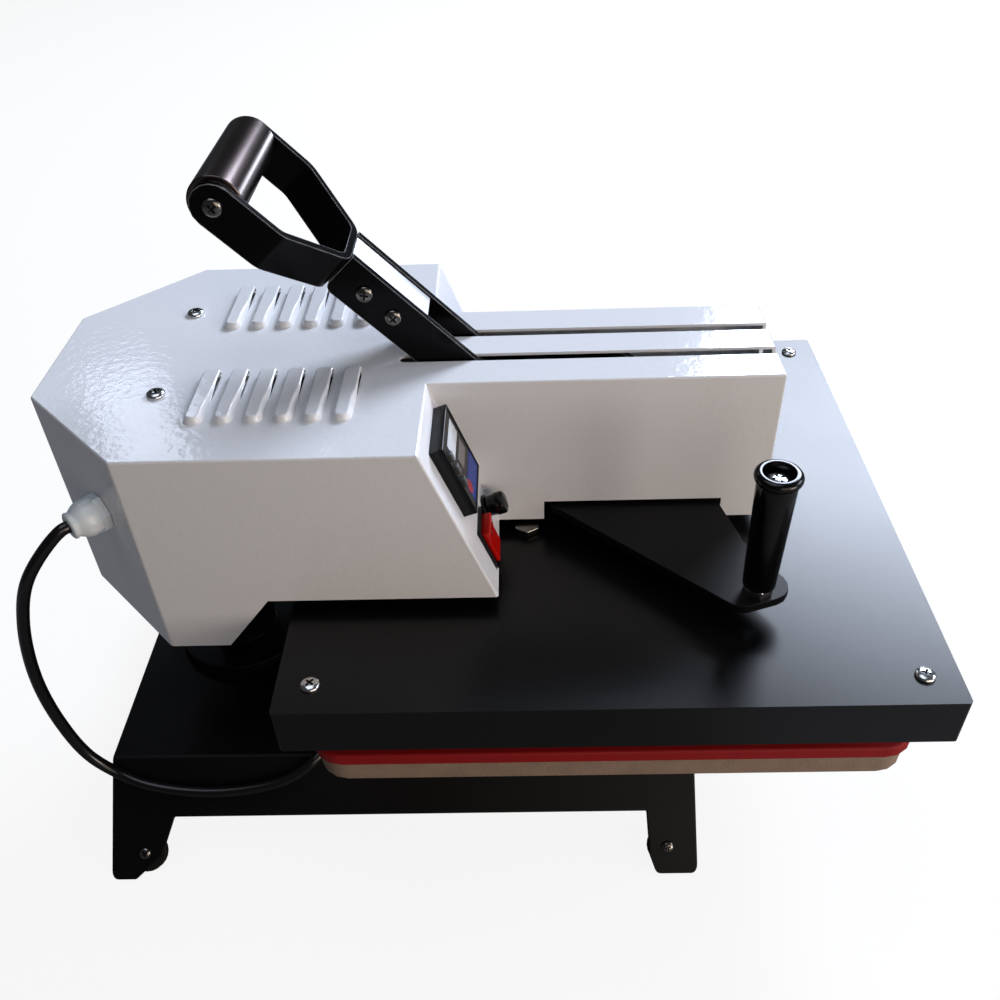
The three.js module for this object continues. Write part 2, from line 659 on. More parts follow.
// Bracket under the housing's top: a strap for the two screws, with legs lapping the arm's flanges
const strapTop = HOUSING_TOP - HOUSING_SHEET - FIT;
function coverBracket() {
  const strapRear = HOUSING_SCREW_X - BRACKET_STRAP_WIDTH / 2;
  const legFront = BRACKET_LEG_X + BRACKET_LEG_WIDTH;
  const strap = block(
    [strapRear, legFront], [-BRACKET_HALF, BRACKET_HALF], [strapTop - BRACKET_STRAP, strapTop],
  );
  const legMiddle = ARM_HALF + FIT + BRACKET_STRAP / 2;
  const legs = [-1, 1].map((side) => block(
    [BRACKET_LEG_X, legFront],
    [side * legMiddle - BRACKET_STRAP / 2, side * legMiddle + BRACKET_STRAP / 2],
    [ARM_TOP - BRACKET_LEG_LAP, strapTop],
  ));
  const holes = [-1, 1].map((side) => upright(
    HOUSING_SCREW_SHANK + FIT, HOUSING_SCREW_X, side * HOUSING_SCREW_Y,
    strapTop - BRACKET_STRAP - OVERRUN, strapTop + OVERRUN, SMALL_SIDES,
  ));
  return cut(join(strap, ...legs), ...holes);
}
piece(group, 'cover_bracket', coverBracket(), steel);

// Places on the sloping control panel: X down its slope, Y across it, Z out of it
const panelLength = Math.hypot(PANEL_RUN, HOUSING_HEIGHT);
const panel = new THREE.Group();
panel.position.set(PANEL_TOP_X, 0, HOUSING_TOP);
panel.rotation.y = Math.atan2(HOUSING_HEIGHT, PANEL_RUN);
panel.updateMatrixWorld();
group.add(panel);

// Place of the cable gland: Z out of the near rear chamfer
const chamfer = WIDE_HALF - REAR_FLAT_HALF;
const gland = new THREE.Group();
const glandWay = new THREE.Vector3(-1, -1, 0).normalize();
const chamferWay = new THREE.Vector3(1, -1, 0).normalize();
const chamferMiddle = [HOUSING_REAR_X + chamfer / 2, -REAR_FLAT_HALF - chamfer / 2];
gland.position.set(...chamferMiddle, HOUSING_TOP - GLAND_BELOW_TOP);
gland.position.addScaledVector(chamferWay, GLAND_SHIFT);
gland.quaternion.setFromUnitVectors(new THREE.Vector3(0, 0, 1), glandWay);
gland.updateMatrixWorld();
group.add(gland);

// A tool drawn in the frame of a turned group, moved to the frame of the whole
const fromFrame = (frame, body) => solid(geometryOf(body).applyMatrix4(frame.matrixWorld));

// Sizes of the rocker's frame: its opening, and its case behind the panel
const rockerOpening = [ROCKER_FRAME_LENGTH - 2 * ROCKER_RIM, ROCKER_FRAME_WIDTH - 2 * ROCKER_RIM];
const rockerCase = rockerOpening.map((size) => size + 2 * ROCKER_WALL);
const rockerX = ROCKER_DOWN + ROCKER_FRAME_LENGTH / 2;

// Housing: a wide box with chamfered rear and sloping front, and a narrow box with two slots
function housingForm(inset) {
  const corner = (Math.SQRT2 - 1) * inset;
  const rear = HOUSING_REAR_X + inset;
  const side = WIDE_HALF - inset;
  const front = PANEL_TOP_X + PANEL_RUN + OVERRUN;
  const plan = outline([
    [rear, REAR_FLAT_HALF - corner], [rear, corner - REAR_FLAT_HALF],
    [HOUSING_REAR_X + chamfer + corner, -side], [front, -side],
    [front, side], [HOUSING_REAR_X + chamfer + corner, side],
  ]);
  const bottom = inset > 0 ? LOBE_BOTTOM - OVERRUN : LOBE_BOTTOM;
  const top = HOUSING_TOP - inset;
  const panelX = (z) => (
    PANEL_TOP_X + PANEL_RUN * (HOUSING_TOP - z) / HOUSING_HEIGHT - inset * panelLength / HOUSING_HEIGHT
  );
  const behind = HOUSING_REAR_X - OVERRUN;
  const lobeFront = HOUSING_REAR_X + LOBE_LENGTH;
  const open = [[behind, bottom], [panelX(bottom), bottom]];
  const stepped = [
    [behind, bottom], [lobeFront, bottom], [lobeFront + LOBE_SLOPE_RUN, WALL_BOTTOM],
    [panelX(WALL_BOTTOM), WALL_BOTTOM],
  ];
  const profile = outline([...(inset > 0 ? open : stepped), [panelX(top), top], [behind, top]]);
  const wide = lying(plan, bottom, top - bottom).intersect(
    standing(profile, -WIDE_HALF - OVERRUN, 2 * (WIDE_HALF + OVERRUN)),
  );
  const narrow = block(
    [PANEL_TOP_X - 2 * OVERRUN, FINGER_END_X - inset],
    [inset - NARROW_HALF, NARROW_HALF - inset],
    [inset > 0 ? bottom : WALL_BOTTOM, top],
  );
  return join(wide, narrow);
}

function louvre(number, y) {
  const rear = LOUVRE_FIRST_X + number * LOUVRE_PITCH;
  const front = rear + LOUVRE_WIDTH;
  const low = HOUSING_TOP - HOUSING_SHEET / 2;
  const high = HOUSING_TOP + LOUVRE_HEIGHT;
  const profile = outline([
    [rear, low], [front, low], [front, high], [front - LOUVRE_WIDTH * LOUVRE_ROOF_SHARE, high, LOUVRE_ROUND],
    [rear, HOUSING_TOP],
  ]);
  const half = LOUVRE_LENGTH / 2;
  const ends = outline([
    [y - half, low], [y + half, low], [y + half, HOUSING_TOP],
    [y + half - LOUVRE_END, high, LOUVRE_ROUND], [y - half + LOUVRE_END, high, LOUVRE_ROUND],
    [y - half, HOUSING_TOP],
  ]);
  const bulge = standing(profile, y - half, LOUVRE_LENGTH).intersect(
    along(ends, rear - FIT, LOUVRE_WIDTH + 2 * FIT),
  );
  const slit = block(
    [front - 2 * LOUVRE_SLIT, front + LOUVRE_SLIT / 2],
    [y - LOUVRE_SLIT_LENGTH / 2, y + LOUVRE_SLIT_LENGTH / 2],
    [HOUSING_TOP - HOUSING_SHEET - OVERRUN, HOUSING_TOP + LOUVRE_SLIT],
  );
  return [bulge, slit];
}

function housing() {
  let shell = cut(housingForm(0), housingForm(HOUSING_SHEET));
  const rows = [-LOUVRE_Y, LOUVRE_Y];
  const louvres = rows.flatMap((y) => Array.from({ length: LOUVRE_COUNT }, (_, i) => louvre(i, y)));
  shell = join(shell, ...louvres.map(([bulge]) => bulge));
  shell = cut(shell, ...louvres.map(([, slit]) => slit));
  const slotRound = (SLOT_OUTER_Y - SLOT_INNER_Y) / 2;
  const slots = [-1, 1].map((side) => lying(outline([
    [SLOT_REAR_X, side * SLOT_INNER_Y, slotRound], [FINGER_END_X + OVERRUN, side * SLOT_INNER_Y],
    [FINGER_END_X + OVERRUN, side * SLOT_OUTER_Y], [SLOT_REAR_X, side * SLOT_OUTER_Y, slotRound],
  ]), HOUSING_TOP - SLOT_FRONT_DROP, SLOT_FRONT_DROP + OVERRUN));
  const notch = block(
    [NOTCH_REAR_X, NOTCH_REAR_X + NOTCH_LENGTH],
    [-NARROW_HALF - OVERRUN, HOUSING_SHEET + FIT - NARROW_HALF],
    [WALL_BOTTOM - OVERRUN, WALL_BOTTOM + NOTCH_HEIGHT],
  );
  const screwHoles = [-1, 1].map((side) => upright(
    HOUSING_SCREW_SHANK + FIT, HOUSING_SCREW_X, side * HOUSING_SCREW_Y,
    HOUSING_TOP - OVERRUN, HOUSING_TOP + OVERRUN, SMALL_SIDES,
  ));
  const rockerHole = fromFrame(panel, lying(
    rectangle(rockerX, ROCKER_Y, rockerCase[0] + 2 * FIT, rockerCase[1] + 2 * FIT), -OVERRUN, 2 * OVERRUN,
  ));
  const fuseHole = fromFrame(panel, upright(FUSE_BODY_RADIUS + FIT, FUSE_DOWN, FUSE_Y, -OVERRUN, OVERRUN));
  const glandHole = fromFrame(gland, upright(GLAND_BODY_RADIUS + FIT, 0, 0, -OVERRUN, OVERRUN));
  return cut(shell, ...slots, notch, ...screwHoles, rockerHole, fuseHole, glandHole);
}
piece(group, 'housing_cover', housing(), whitePowder);
[['housing_screw_near', -1], ['housing_screw_far', 1]].forEach(([name, side]) => {
  piece(group, name, domedScrew(
    HOUSING_SCREW_X, side * HOUSING_SCREW_Y, HOUSING_TOP,
    HOUSING_SCREW_HEAD, HOUSING_SCREW_HEIGHT, HOUSING_SCREW_SHANK, HOUSING_SCREW_LENGTH,
  ), brightScrew);
});

// Controller with two windows and its sprung keys
const keyX = (number) => CONTROLLER_DOWN + KEY_DOWN + number * KEY_PITCH;
const keyY = CONTROLLER_Y - CONTROLLER_WIDTH / 2 + KEY_EDGE;
function controllerBox() {
  const middle = CONTROLLER_DOWN + CONTROLLER_HEIGHT / 2;
  const box = lying(
    rectangle(middle, CONTROLLER_Y, CONTROLLER_HEIGHT, CONTROLLER_WIDTH, CONTROLLER_CORNER),
    FIT, CONTROLLER_PROUD - FIT,
  );
  const windows = [0, 1].map((number) => lying(
    rectangle(
      CONTROLLER_DOWN + WINDOW_DOWN + WINDOW_HEIGHT / 2 + number * WINDOW_PITCH, CONTROLLER_Y + WINDOW_Y,
      WINDOW_HEIGHT, WINDOW_WIDTH,
    ), CONTROLLER_PROUD - WINDOW_DEPTH, OVERRUN,
  ));
  const seats = Array.from({ length: KEY_COUNT }, (_, i) => lying(
    rectangle(keyX(i), keyY, KEY_LENGTH + 2 * FIT, KEY_WIDTH + 2 * FIT), CONTROLLER_PROUD - KEY_SEAT, OVERRUN,
  ));
  return cut(box, ...windows, ...seats);
}
piece(panel, 'controller_box', controllerBox(), blackPlastic);
for (let i = 0; i < KEY_COUNT; i += 1) {
  const bottom = CONTROLLER_PROUD - KEY_SEAT + KEY_TRAVEL + FIT;
  piece(panel, `key_${i + 1}`, lying(
    rectangle(keyX(i), keyY, KEY_LENGTH, KEY_WIDTH), bottom, CONTROLLER_PROUD + KEY_PROUD - bottom,
  ), greyPlastic);
}

// Rocker switch: a frame with its case behind the panel, and the rocker tilted to its off side
function rockerFrame() {
  const face = FIT + ROCKER_FRAME_PROUD;
  const flange = lying(
    rectangle(rockerX, ROCKER_Y, ROCKER_FRAME_LENGTH, ROCKER_FRAME_WIDTH, ROCKER_FRAME_PROUD),
    FIT, ROCKER_FRAME_PROUD,
  );
  const caseBody = lying(
    rectangle(rockerX, ROCKER_Y, ...rockerCase),
    face - ROCKER_DEPTH - ROCKER_WALL, ROCKER_DEPTH + ROCKER_WALL,
  );
  const opening = lying(
    rectangle(rockerX, ROCKER_Y, ...rockerOpening), face - ROCKER_DEPTH, ROCKER_DEPTH + OVERRUN,
  );
  return cut(join(flange, caseBody), opening);
}
piece(panel, 'rocker_frame', rockerFrame(), blackPlastic);
function rockerBody() {
  const half = rockerOpening[0] / 2 - ROCKER_GAP;
  const width = rockerOpening[1] - 2 * FIT;
  const end = ROCKER_PIVOT_DEPTH + ROCKER_FACE_RISE;
  const profile = outline([
    [-half, 0], [-half / 2, -ROCKER_SKIRT], [half / 2, -ROCKER_SKIRT], [half, 0],
    [half, end, ROCKER_FRAME_PROUD / 2], [0, end - ROCKER_FACE_DIP], [-half, end, ROCKER_FRAME_PROUD / 2],
  ]);
  return standing(profile, -width / 2, width);
}
const rocker = piece(panel, 'rocker', rockerBody(), redPlastic);
rocker.position.set(rockerX, ROCKER_Y, FIT + ROCKER_FRAME_PROUD - ROCKER_PIVOT_DEPTH);
rocker.rotation.y = degrees(ROCKER_TILT);

// Fuse holder through the panel, and its slotted cap
piece(panel, 'fuse_holder', join(
  upright(FUSE_COLLAR_RADIUS, FUSE_DOWN, FUSE_Y, FIT, FIT + FUSE_COLLAR),
  upright(FUSE_BODY_RADIUS, FUSE_DOWN, FUSE_Y, -FUSE_BODY_LENGTH, FIT + FUSE_COLLAR),
), blackPlastic);
const fuseCapBottom = 2 * FIT + FUSE_COLLAR;
piece(panel, 'fuse_cap', cut(
  upright(FUSE_CAP_RADIUS, FUSE_DOWN, FUSE_Y, fuseCapBottom, fuseCapBottom + FUSE_CAP_LENGTH),
  block(
    [FUSE_DOWN - FUSE_SLOT_WIDTH / 2, FUSE_DOWN + FUSE_SLOT_WIDTH / 2],
    [FUSE_Y - FUSE_CAP_RADIUS, FUSE_Y + FUSE_CAP_RADIUS],
    [fuseCapBottom + FUSE_CAP_LENGTH - FUSE_SLOT_DEPTH, fuseCapBottom + FUSE_CAP_LENGTH + OVERRUN],
  ),
), blackPlastic);

// Cable gland: body through the chamfer, domed nut outside
const glandHexTop = FIT + GLAND_HEX;
const glandNutEnd = glandHexTop + FIT + GLAND_NUT_LENGTH;
piece(gland, 'gland_body', join(
  upright(acrossFlats(GLAND_HEX_FLATS), 0, 0, FIT, glandHexTop, HEX_SIDES),
  upright(GLAND_BODY_RADIUS, 0, 0, -GLAND_INSIDE, glandNutEnd - FIT - GLAND_CAP),
), whiteNylon);
piece(gland, 'gland_nut', turned([
  [0, glandNutEnd - GLAND_CAP], [GLAND_BODY_RADIUS + FIT, glandNutEnd - GLAND_CAP],
  [GLAND_BODY_RADIUS + FIT, glandHexTop + FIT], [GLAND_NUT_RADIUS, glandHexTop + FIT],
  [GLAND_NUT_RADIUS, glandNutEnd - GLAND_DOME], [GLAND_SHOULDER, glandNutEnd - GLAND_SHOULDER_DROP],
  [GLAND_DOME, glandNutEnd], [0, glandNutEnd],
], 0, 0, ROUND_SIDES), whiteNylon);

// Swing bracket on the arm's near flange, with the revolving handle at its tip
function swingBracket() {
  const [rootRear, rootFront] = [PRESS_X - SWING_ROOT_BEHIND, PRESS_X + SWING_ROOT_PAST];
  const plate = lying(outline([
    [rootRear, -ARM_HALF - FIT], [rootRear, -NARROW_HALF],
    [SWING_X - SWING_TIP_CORNER, SWING_Y - SWING_TIP_CORNER - SWING_TIP_LIP, SWING_TIP_CORNER],
    [SWING_X + SWING_TIP_FRONT, SWING_Y - SWING_TIP_LIP, SWING_TIP_CORNER],
    [SWING_X, SWING_Y + SWING_TIP_INNER, SWING_TIP_CORNER],
    [rootFront, -NARROW_HALF], [rootFront, -ARM_HALF - FIT],
  ]), SWING_BRACKET_BOTTOM, SWING_BRACKET);
  return cut(plate, upright(
    HANDLE_BOLT_RADIUS + FIT, SWING_X, SWING_Y,
    SWING_BRACKET_BOTTOM - OVERRUN, SWING_BRACKET_TOP + OVERRUN, ROUND_SIDES,
  ));
}
piece(group, 'swing_bracket', swingBracket(), blackPowder);
const handleBore = HANDLE_BOLT_RADIUS + FIT;
const handleNutTop = SWING_BRACKET_TOP + FIT + HANDLE_NUT;
piece(group, 'handle_nut', cut(
  upright(acrossFlats(HANDLE_NUT_FLATS), SWING_X, SWING_Y, SWING_BRACKET_TOP + FIT, handleNutTop, HEX_SIDES),
  upright(handleBore, SWING_X, SWING_Y, SWING_BRACKET_TOP, handleNutTop + OVERRUN),
), steel);
const swingGripBottom = handleNutTop + FIT;
const swingGripTop = swingGripBottom + SWING_GRIP_LENGTH;
const recessFloor = swingGripTop - SWING_GRIP_RECESS_DEPTH;
const rimBottom = swingGripTop - SWING_GRIP_RIM_HEIGHT;
piece(group, 'handle_bolt', turned([
  [0, SWING_BRACKET_BOTTOM - HANDLE_TAIL], [HANDLE_BOLT_RADIUS, SWING_BRACKET_BOTTOM - HANDLE_TAIL],
  [HANDLE_BOLT_RADIUS, recessFloor + FIT], [HANDLE_BOLT_HEAD, recessFloor + FIT],
  [HANDLE_BOLT_HEAD, recessFloor + FIT + HANDLE_BOLT_HEAD_HEIGHT / 2],
  [0, recessFloor + FIT + HANDLE_BOLT_HEAD_HEIGHT],
], SWING_X, SWING_Y, ROUND_SIDES), brightScrew);
piece(group, 'swing_grip', turned([
  [handleBore, swingGripBottom], [SWING_GRIP_FOOT, swingGripBottom], [SWING_GRIP_NECK, rimBottom],
  [SWING_GRIP_RIM, rimBottom + SWING_GRIP_RIM_HEIGHT / 4],
  [SWING_GRIP_RIM, swingGripTop - SWING_GRIP_RIM_HEIGHT / 4],
  [SWING_GRIP_NECK, swingGripTop], [SWING_GRIP_RECESS, swingGripTop], [SWING_GRIP_RECESS, recessFloor],
  [handleBore, recessFloor], [handleBore, swingGripBottom],
], SWING_X, SWING_Y, ROUND_SIDES), blackPlastic);

// Lever: its own frame at the pivot, X out along the lever, Z to its lower side
const pinHalf = NARROW_HALF - HOUSING_SHEET - FIT;
piece(group, 'lever_pivot_pin', bar(
  PIVOT_RADIUS, [PRESS_X, -pinHalf, PIVOT_Z], [PRESS_X, pinHalf, PIVOT_Z],
), steel);
const lever = new THREE.Group();
lever.position.set(PRESS_X, 0, PIVOT_Z);
lever.rotation.y = degrees(LEVER_LEAN) - Math.PI;
group.add(lever);
const barHalf = LEVER_WIDTH / 2;
const barUpper = LEVER_BAR_OFFSET - barHalf;
const barLower = LEVER_BAR_OFFSET + barHalf;
const crossways = (radius, x, z, nearY, farY, sides = ROUND_SIDES) => (
  bar(radius, [x, nearY, z], [x, farY, z], sides)
);

// The spiral slot: its radius grows steadily with the lever's angle, so the pin moves steadily too
function camSlot() {
  const half = CAM_PIN_RADIUS + FIT;
  const middle = (share) => {
    const radius = CAM_SLOT_START + PRESS_STROKE * share;
    const angle = degrees(90 + LEVER_LEAN + LEVER_TRAVEL * share);
    return new THREE.Vector2(radius * Math.cos(angle), radius * Math.sin(angle));
  };
  const sides = [[], []];
  for (let i = 0; i <= CAM_SLOT_STEPS; i += 1) {
    const share = i / CAM_SLOT_STEPS;
    const ahead = middle(share + 1 / CAM_SLOT_STEPS).sub(middle(share - 1 / CAM_SLOT_STEPS)).normalize();
    const across = new THREE.Vector2(-ahead.y, ahead.x).multiplyScalar(half);
    sides[0].push(middle(share).add(across));
    sides[1].unshift(middle(share).sub(across));
  }
  const band = standing(new THREE.Shape(sides.flat()), -CAM_PIN_HALF, 2 * CAM_PIN_HALF);
  const ends = [middle(0), middle(1)].map(({ x, y }) => crossways(half, x, y, -CAM_PIN_HALF, CAM_PIN_HALF));
  return join(band, ...ends);
}

function leverPlate(nearY) {
  const farY = nearY + LEVER_PLATE;
  const tangent = degrees(-CAM_DISC_TANGENT);
  const shape = standing(outline([
    [0, CAM_DISC_RADIUS], [LEVER_BAR_START, barLower], [LEVER_BAR_END, barLower, FORK_SHEET],
    [LEVER_BAR_END, barUpper], [LEVER_BAR_START, barUpper, LEVER_WIDTH],
    [CAM_DISC_RADIUS * Math.cos(tangent), CAM_DISC_RADIUS * Math.sin(tangent)], [0, 0],
  ]), nearY, LEVER_PLATE);
  const disc = crossways(CAM_DISC_RADIUS, 0, 0, nearY, farY, LARGE_SIDES);
  const holes = [0, 1].map((number) => crossways(
    LEVER_BOLT_RADIUS + FIT, LEVER_BOLT_FIRST + number * LEVER_BOLT_PITCH, LEVER_BAR_OFFSET,
    nearY - OVERRUN, farY + OVERRUN, SMALL_SIDES,
  ));
  const pivotHole = crossways(PIVOT_RADIUS + FIT, 0, 0, nearY - OVERRUN, farY + OVERRUN);
  return cut(join(shape, disc), pivotHole, camSlot(), ...holes);
}
const plateOuterY = LEVER_PLATE_INNER_Y + LEVER_PLATE;
piece(lever, 'lever_plate_near', leverPlate(-plateOuterY), blackPowder);
piece(lever, 'lever_plate_far', leverPlate(LEVER_PLATE_INNER_Y), blackPowder);
const leverBoltX = [0, 1].map((number) => LEVER_BOLT_FIRST + number * LEVER_BOLT_PITCH);
const spacerHalf = LEVER_PLATE_INNER_Y - FIT;
piece(lever, 'lever_spacer', cut(
  block(
    [SPACER_START, LEVER_BAR_END - FIT], [-spacerHalf, spacerHalf],
    [barUpper + SPACER_INSET, barUpper + SPACER_INSET + SPACER_DEPTH],
  ),
  ...leverBoltX.map((x) => crossways(
    LEVER_BOLT_RADIUS + FIT, x, LEVER_BAR_OFFSET, -plateOuterY, plateOuterY, SMALL_SIDES,
  )),
), aluminium);
leverBoltX.forEach((x, i) => {
  const [head, tail] = [-plateOuterY - FIT, plateOuterY + FIT];
  piece(lever, `lever_bolt_${i + 1}`, join(
    crossways(LEVER_BOLT_HEAD, x, LEVER_BAR_OFFSET, head - LEVER_BOLT_HEAD_HEIGHT, head, SMALL_SIDES),
    crossways(LEVER_BOLT_RADIUS, x, LEVER_BAR_OFFSET, head - FIT, tail + FIT, SMALL_SIDES),
    crossways(LEVER_BOLT_HEAD, x, LEVER_BAR_OFFSET, tail, tail + LEVER_BOLT_HEAD_HEIGHT, HEX_SIDES),
  ), brightScrew);
});

// A bent strip seen from above: its middle line, thickened, with round bends
function strip(line, thickness, bend) {
  const sides = [[], []];
  line.forEach(([x, y], i) => {
    const here = new THREE.Vector2(x, y);
    const before = here.clone().sub(new THREE.Vector2(...(line[i - 1] ?? [x, y]))).normalize();
    const after = new THREE.Vector2(...(line[i + 1] ?? [x, y])).sub(here).normalize();
    const ahead = before.clone().add(after).normalize();
    const straight = before.length() === 0 || after.length() === 0;
    const across = new THREE.Vector2(-ahead.y, ahead.x);
    const reach = straight ? thickness / 2 : thickness / 2 / across.dot(new THREE.Vector2(-after.y, after.x));
    const left = straight ? 0 : bend + (before.cross(after) > 0 ? 0 : thickness);
    const right = straight ? 0 : bend + (before.cross(after) > 0 ? thickness : 0);
    sides[0].push([x + across.x * reach, y + across.y * reach, left]);
    sides[1].unshift([x - across.x * reach, y - across.y * reach, right]);
  });
  return outline(sides.flat());
}

// Fork: one strip bent from grip end to web to grip end, its two ends rounded
const forkWebX = LEVER_BAR_END + FIT + FORK_SHEET / 2;
const gripX = forkWebX + FORK_LENGTH;
function leverFork() {
  const armY = FORK_HALF - FORK_SHEET / 2;
  const end = gripX + FORK_WIDTH / 2;
  const line = [
    [end, -armY], [forkWebX + FORK_SPREAD_RUN, -armY], [forkWebX, -FORK_WEB_HALF],
    [forkWebX, FORK_WEB_HALF], [forkWebX + FORK_SPREAD_RUN, armY], [end, armY],
  ];
  const bottom = LEVER_BAR_OFFSET - FORK_WIDTH / 2;
  const bent = lying(strip(line, FORK_SHEET, FORK_BEND), bottom, FORK_WIDTH);
  const rounded = standing(outline([
    [LEVER_BAR_END, bottom], [end, bottom, FORK_WIDTH / 2],
    [end, bottom + FORK_WIDTH, FORK_WIDTH / 2], [LEVER_BAR_END, bottom + FORK_WIDTH],
  ]), -FORK_HALF - OVERRUN, 2 * (FORK_HALF + OVERRUN));
  const screws = crossways(
    GRIP_SCREW_SHANK + FIT, gripX, LEVER_BAR_OFFSET, -FORK_HALF - OVERRUN, FORK_HALF + OVERRUN, SMALL_SIDES,
  );
  return cut(bent.intersect(rounded), screws);
}
piece(lever, 'lever_fork', leverFork(), blackPowder);
const gripHalf = FORK_HALF - FORK_SHEET - FIT;
const screwSeat = FORK_HALF + FIT;
const screwEnd = screwSeat - GRIP_SCREW_LENGTH;
const screwHole = (side) => crossways(
  GRIP_SCREW_SHANK + FIT, gripX, LEVER_BAR_OFFSET,
  side * (screwEnd - FIT), side * (gripHalf + OVERRUN), SMALL_SIDES,
);
piece(lever, 'lever_grip', cut(
  crossways(GRIP_RADIUS, gripX, LEVER_BAR_OFFSET, -gripHalf, gripHalf, LARGE_SIDES),
  screwHole(-1), screwHole(1),
), gripMetal);
[['grip_screw_near', -1], ['grip_screw_far', 1]].forEach(([name, side]) => piece(lever, name, join(
  crossways(
    GRIP_SCREW_HEAD, gripX, LEVER_BAR_OFFSET,
    side * screwSeat, side * (screwSeat + GRIP_SCREW_HEIGHT), SMALL_SIDES,
  ),
  crossways(
    GRIP_SCREW_SHANK, gripX, LEVER_BAR_OFFSET, side * screwEnd, side * (screwSeat + FIT), SMALL_SIDES,
  ),
), brightScrew));

// Platen: cover, board, heated plate, press shaft with the cross pin that the lever's slots drive
const boltPlaces = [-1, 1].flatMap((sideX) => [-1, 1].map((sideY) => (
  [PRESS_X + sideX * BOLT_SPAN_X / 2, sideY * BOLT_SPAN_Y / 2]
)));
const screwReach = COVER_SIZE / 2 - PLATEN_SCREW_INSET;
const screwPlaces = [-1, 1].flatMap((sideX) => [-1, 1].map((sideY) => (
  [PRESS_X + sideX * screwReach, sideY * screwReach]
)));
const holesAt = (places, radius, bottom, top) => (
  places.map(([x, y]) => upright(radius, x, y, bottom, top, SMALL_SIDES))
);
const spigotHole = (bottom, top) => upright(SHAFT_SPIGOT_RADIUS + FIT, PRESS_X, 0, bottom, top);
function platenCover() {
  const inner = COVER_SIZE - 2 * COVER_SHEET;
  const below = COVER_TOP - COVER_SHEET - OVERRUN;
  const above = COVER_TOP + OVERRUN;
  return cut(
    lying(rectangle(PRESS_X, 0, COVER_SIZE, COVER_SIZE, COVER_CORNER), COVER_BOTTOM, SKIRT_DEPTH),
    lying(
      rectangle(PRESS_X, 0, inner, inner, COVER_CORNER - COVER_SHEET),
      COVER_BOTTOM - OVERRUN, SKIRT_DEPTH - COVER_SHEET + OVERRUN,
    ),
    spigotHole(below, above),
    ...holesAt(boltPlaces, BOLT_SHANK + FIT, below, above),
    ...holesAt(screwPlaces, PLATEN_SCREW_SHANK + FIT, below, above),
  );
}
piece(group, 'platen_cover', platenCover(), satinBlack);
const boardBottom = PLATE_TOP + FIT;
const boardTop = COVER_TOP - COVER_SHEET - FIT;
piece(group, 'insulation_board', cut(
  lying(rectangle(PRESS_X, 0, BOARD_SIZE, BOARD_SIZE), boardBottom, boardTop - boardBottom),
  spigotHole(boardBottom - OVERRUN, boardTop + OVERRUN),
  ...holesAt(boltPlaces, BOLT_SHANK + FIT, boardBottom - OVERRUN, boardTop + OVERRUN),
), insulation);
piece(group, 'heat_platen', cut(
  lying(rectangle(PRESS_X, 0, PLATE_SIZE, PLATE_SIZE, PLATE_CORNER), PLATE_BOTTOM, PLATE_THICKNESS),
  ...holesAt(boltPlaces, BOLT_SHANK + FIT, COVER_TOP - BOLT_LENGTH - FIT, PLATE_TOP + OVERRUN),
), aluminium);
const shaftFlangeTop = COVER_TOP + FIT + SHAFT_FLANGE_THICKNESS;
piece(group, 'press_shaft', cut(turned([
  [0, PLATE_TOP + FIT], [SHAFT_SPIGOT_RADIUS, PLATE_TOP + FIT], [SHAFT_SPIGOT_RADIUS, COVER_TOP + FIT],
  [SHAFT_FLANGE_RADIUS, COVER_TOP + FIT], [SHAFT_FLANGE_RADIUS, shaftFlangeTop],
  [SHAFT_RADIUS, shaftFlangeTop], [SHAFT_RADIUS, CAM_PIN_Z + SHAFT_EYE_ABOVE_PIN],
  [0, CAM_PIN_Z + SHAFT_EYE_ABOVE_PIN],
], PRESS_X, 0, ROUND_SIDES), bar(
  CAM_PIN_RADIUS + FIT, [PRESS_X, -CAM_PIN_HALF, CAM_PIN_Z], [PRESS_X, CAM_PIN_HALF, CAM_PIN_Z],
)), steel);
piece(group, 'cam_pin', bar(
  CAM_PIN_RADIUS, [PRESS_X, -CAM_PIN_HALF, CAM_PIN_Z], [PRESS_X, CAM_PIN_HALF, CAM_PIN_Z],
), steel);
boltPlaces.forEach(([x, y], i) => piece(group, `platen_bolt_${i + 1}`, join(
  upright(acrossFlats(BOLT_ACROSS_FLATS), x, y, COVER_TOP + FIT, COVER_TOP + FIT + BOLT_HEAD, HEX_SIDES),
  upright(BOLT_SHANK, x, y, COVER_TOP - BOLT_LENGTH, COVER_TOP + 2 * FIT, SMALL_SIDES),
), brightScrew));
screwPlaces.forEach(([x, y], i) => piece(group, `cover_screw_${i + 1}`, domedScrew(
  x, y, COVER_TOP, PLATEN_SCREW_HEAD, PLATEN_SCREW_HEIGHT, PLATEN_SCREW_SHANK, COVER_TOP - PLATE_TOP - FIT,
), brightScrew));

